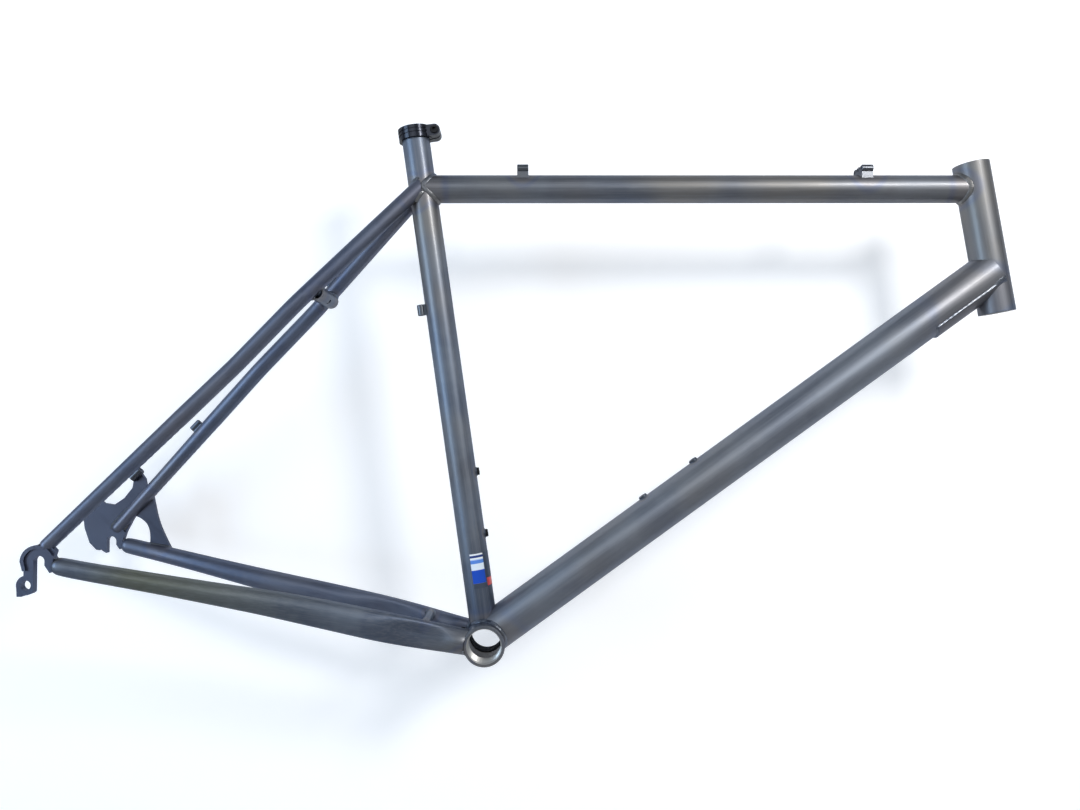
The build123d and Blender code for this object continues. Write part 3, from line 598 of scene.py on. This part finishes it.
own_finish = {"seat_clamp_collar": black_alloy, "seat_clamp_bolt": black_screw,
              "bottle_screw_lower": black_screw, "bottle_screw_upper": black_screw,
              "tubing_sticker": sticker_print("tubing_sticker"), "left_dropout": plate_steel,
              "right_dropout": plate_steel, "disc_brace": plate_steel}
for node in NODES:
    if node not in tube_axes:
        paint(node, own_finish.get(node, small_steel))
weld_steel = steel("weld_steel", LEFT, streak=0.2, gloss=0.14)
for made in made_beads:
    made.data.materials.append(weld_steel)
# painted shade: the left thread, at the far end of the shell, is a near black copy of the steel;
# the right one is bare metal
painted_shade_metal = steel("painted_shade_metal", LEFT, streak=0.2, shade=0.25)
for made, metal in zip(threads, (painted_shade_metal, bare_metal)):
    made.data.materials.append(metal)


def soften(node, width, segments=2):
    """Rounded edges on a machined or cast node. Flat areas are first joined up."""
    flat = NODES[node].modifiers.new("join_flats", "DECIMATE")
    flat.decimate_type = "DISSOLVE"
    flat.angle_limit = radians(0.6)
    edges = NODES[node].modifiers.new("soft_edges", "BEVEL")
    edges.width, edges.segments = width, segments
    edges.limit_method = "ANGLE"
    edges.angle_limit = radians(40)


for node in ("right_dropout", "left_dropout", "disc_brace"):
    soften(node, 0.7 * MM, 3)
for node in ("seat_clamp_collar", "head_gusset"):
    soften(node, 0.35 * MM)

# ------------------------------------------------------------------ stage
HANG_ANGLE = 9.0              # the frame hangs nose down in the picture
WALL_Y = 0.125                # the wall hangs this far behind the middle plane
FLOOR_Z = -0.62
WALL_REACH, FLOOR_REACH = 4, 9


def panel(name, corners, material):
    mesh = bpy.data.meshes.new(name)
    mesh.from_pydata(corners, [], [tuple(range(len(corners)))])
    made = bpy.data.objects.new(name, mesh)
    bpy.context.collection.objects.link(made)
    mesh.materials.append(material)
    return made


def pale(name, grey, glow_colour):
    """Matt off-white, which may glow."""
    g = Graph(name)
    g.set(Base_Color=(grey, grey, grey * 1.02, 1), Roughness=0.85, Emission_Color=glow_colour)
    return g


def wall_white():
    """A wall that can't be seen from behind."""
    g = pale("wall_white", 0.82, (1.0, 1.0, 0.985, 1))
    g.set(Emission_Strength=0.34)
    clear = g.node("ShaderNodeBsdfTransparent")
    choose = g.node("ShaderNodeMixShader")
    g.plug(choose.inputs[0], g.node("ShaderNodeNewGeometry").outputs["Backfacing"])
    g.plug(choose.inputs[1], g.shader.outputs[0])
    g.plug(choose.inputs[2], clear.outputs[0])
    output = next(n for n in g.tree.nodes if n.type == "OUTPUT_MATERIAL")
    g.plug(output.inputs["Surface"], choose.outputs[0])
    return g.material


def floor_white():
    """A floor that glows far out, where the lamps don't reach."""
    g = pale("floor_white", 0.46, (1.0, 1.0, 1.0, 1))
    g.set(Emission_Strength=g.fade(g.distance(ORIGIN), 1.1, 3.4, 0.0, 0.28))
    return g.material


panel("wall", [(-WALL_REACH, WALL_Y, FLOOR_Z), (WALL_REACH, WALL_Y, FLOOR_Z),
               (WALL_REACH, WALL_Y, WALL_REACH), (-WALL_REACH, WALL_Y, WALL_REACH)], wall_white())
panel("floor", [(-FLOOR_REACH, -FLOOR_REACH, FLOOR_Z), (FLOOR_REACH, -FLOOR_REACH, FLOOR_Z),
                (FLOOR_REACH, FLOOR_REACH, FLOOR_Z), (-FLOOR_REACH, FLOOR_REACH, FLOOR_Z)],
      floor_white())


def lamp(name, place, aim, size, watts, colour, spread=180):
    data = bpy.data.lights.new(name, "AREA")
    data.shape = "RECTANGLE"
    data.size, data.size_y = size
    data.energy = watts
    data.color = colour
    data.spread = radians(spread)
    made = bpy.data.objects.new(name, data)
    bpy.context.collection.objects.link(made)
    made.location = place
    made.rotation_euler = (Vector(aim) - Vector(place)).to_track_quat("-Z", "Y").to_euler()


HANG = Matrix.Rotation(radians(-HANG_ANGLE), 3, "Y")
KEY_AT = HANG @ Vector((1.068, -1.264, 1.087))
WINDOW_AT = HANG @ Vector((-2.1, -1.35, 0.45))
FRONT_AT = HANG @ Vector((-0.35, -2.3, 1.15))
BEHIND_AT = Vector((0.2, 2.2, 1.6))
lamp("key", KEY_AT, (0.15, 0, 0.3), (0.40, 0.40), 19.0, (1.0, 0.99, 0.97))
lamp("window", WINDOW_AT, (-0.1, 0, 0.25), (1.1, 1.7), 13.0, (0.60, 0.79, 1.0), 110)
lamp("front", FRONT_AT, (0.05, 0, 0.35), (2.2, 0.8), 2.0, (0.92, 0.96, 1.0), 80)
lamp("behind", BEHIND_AT, (0, 0, 0.3), (3.0, 1.4), 16.0, (1.0, 0.99, 0.97))
world = bpy.data.worlds.new("room_light")
bpy.context.scene.world = world
world.use_nodes = True
background = world.node_tree.nodes["Background"]
background.inputs["Color"].default_value = (0.82, 0.90, 1.0, 1)
background.inputs["Strength"].default_value = 0.34
bpy.context.scene.view_settings.view_transform = "Standard"

# ------------------------------------------------------------------ camera
# The camera is rolled by the angle that the frame hangs at.
CAMERA_AT = Vector((0.0104, -0.900, 0.2246))
TURN_RIGHT, TURN_UP = 0.66, 1.25
SENSOR, LENS = 36.0, 29.0
camera_data = bpy.data.cameras.new("camera")
camera_data.sensor_width, camera_data.lens = SENSOR, LENS
camera = bpy.data.objects.new("camera", camera_data)
bpy.context.collection.objects.link(camera)
camera.matrix_world = (Matrix.Translation(CAMERA_AT)
                       @ Matrix.Rotation(radians(-HANG_ANGLE), 4, "Y")
                       @ Matrix.Rotation(radians(-TURN_RIGHT), 4, "Z")
                       @ Matrix.Rotation(radians(90 + TURN_UP), 4, "X"))
bpy.context.scene.camera = camera
